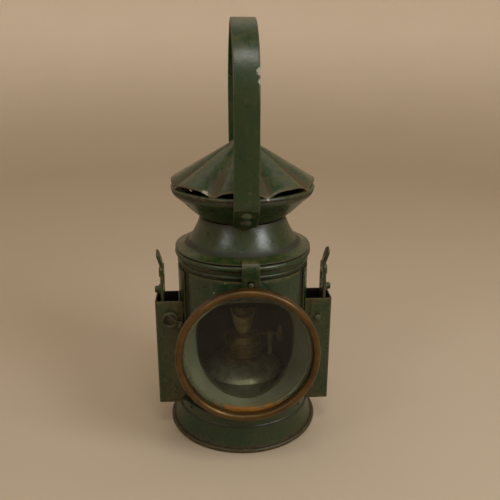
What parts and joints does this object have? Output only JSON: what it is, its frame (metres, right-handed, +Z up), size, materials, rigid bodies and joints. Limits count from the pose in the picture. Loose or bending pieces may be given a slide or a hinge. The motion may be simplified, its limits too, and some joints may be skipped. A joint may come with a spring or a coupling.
{
  "type": "oil hand lamp",
  "caption": "Sheet-metal signal hand lamp: round lens in a brass ring, oil burner inside, hinged vented hood with strap handle, pull slides in side pockets.",
  "frame": {"origin": "on the ground under the middle of the whole lamp; the body's upright axis is 7.6 mm behind it, at +Y", "axes": "+Z up, the lens faces -Y, the pockets stand at +X and -X"},
  "size_m": [0.1232, 0.1232, 0.2818],
  "materials": {
    "enamel_green": "old green enamel, worn gloss",
    "enamel_pale": "pale grey-green paint, matt",
    "bezel_brass": "tarnished brass",
    "burner_brass": "dull sooty brass",
    "steel": "worn bare steel",
    "tinplate": "dull tinplate",
    "lens_glass": "clear, slightly domed",
    "putty": "pale old putty",
    "cotton_wick": "woven cotton"
  },
  "bodies": {
    "lamp_body": {"base_skirt": "enamel_green", "base_floor": "tinplate", "fount_socket": "tinplate", "body_shell": "enamel_green", "front_plate": "enamel_green", "side_plate_left": "enamel_green", "side_plate_right": "enamel_green", "lens_housing": "enamel_pale", "lens_gasket": "putty", "lens_glass": "lens_glass", "lens_bezel": "bezel_brass", "latch_stud": "steel", "collar_ring": "enamel_green", "pocket_left": "enamel_green", "pocket_right": "enamel_green", "pocket_rivet_left": "steel", "pocket_rivet_right": "steel", "catch_boss": "enamel_green", "catch_pivot": "steel", "pocket_stud": "steel", "hinge_leaf_body": "enamel_green", "hinge_pin": "steel", "fount": "tinplate", "burner_collar": "burner_brass", "burner_gallery": "burner_brass", "burner_tulip": "burner_brass", "wick_tube": "burner_brass", "spindle_post": "tinplate"},
    "hood": {"hood_shoulder": "enamel_green", "hood_spigot": "enamel_green", "vent_funnel": "enamel_green", "inner_chimney": "steel", "fluted_cap": "enamel_green", "carrying_handle": "enamel_green", "handle_rivet_front_lower": "enamel_green", "handle_rivet_front_upper": "enamel_green", "handle_rivet_rear_lower": "enamel_green", "handle_rivet_rear_upper": "enamel_green", "front_hasp": "enamel_green", "hinge_leaf_hood": "enamel_green"},
    "slide_left": {"slide_left": "enamel_green", "slide_stud_left": "steel"},
    "slide_right": {"slide_right": "enamel_green", "slide_stud_right": "steel"},
    "wick_turner": {"wick_spindle": "burner_brass", "spur_wheel": "burner_brass", "wick_knob": "burner_brass"},
    "wick": {"wick": "cotton_wick"},
    "catch": {"wire_catch": "steel"}
  },
  "joints": [
    {"name": "hood_hinge", "type": "hinge", "parent": "lamp_body", "child": "hood", "pos_m": [0, 0.0578, 0.1314], "axis": [-1, 0, 0], "range_deg": [0, 100]},
    {"name": "slide_left_lift", "type": "slide", "parent": "lamp_body", "child": "slide_left", "axis": [0, 0, 1], "range_m": [0, 0.065]},
    {"name": "slide_right_lift", "type": "slide", "parent": "lamp_body", "child": "slide_right", "axis": [0, 0, 1], "range_m": [0, 0.065]},
    {"name": "wick_knob_turn", "type": "hinge", "parent": "lamp_body", "child": "wick_turner", "pos_m": [0, 0.0137, 0.0613], "axis": [-1, 0, 0], "range_deg": [0, 180]},
    {"name": "wick_lift", "type": "slide", "parent": "lamp_body", "child": "wick", "axis": [0, 0, 1], "range_m": [0, 0.0095]},
    {"name": "wire_catch_turn", "type": "hinge", "parent": "lamp_body", "child": "catch", "pos_m": [-0.0442, -0.01335, 0.0826], "axis": [0, 1, 0], "range_deg": [0, 45]}
  ],
  "couplings": [
    {"joint": "wick_lift", "follows": "wick_knob_turn", "m_per_rad": 0.0029}
  ]
}
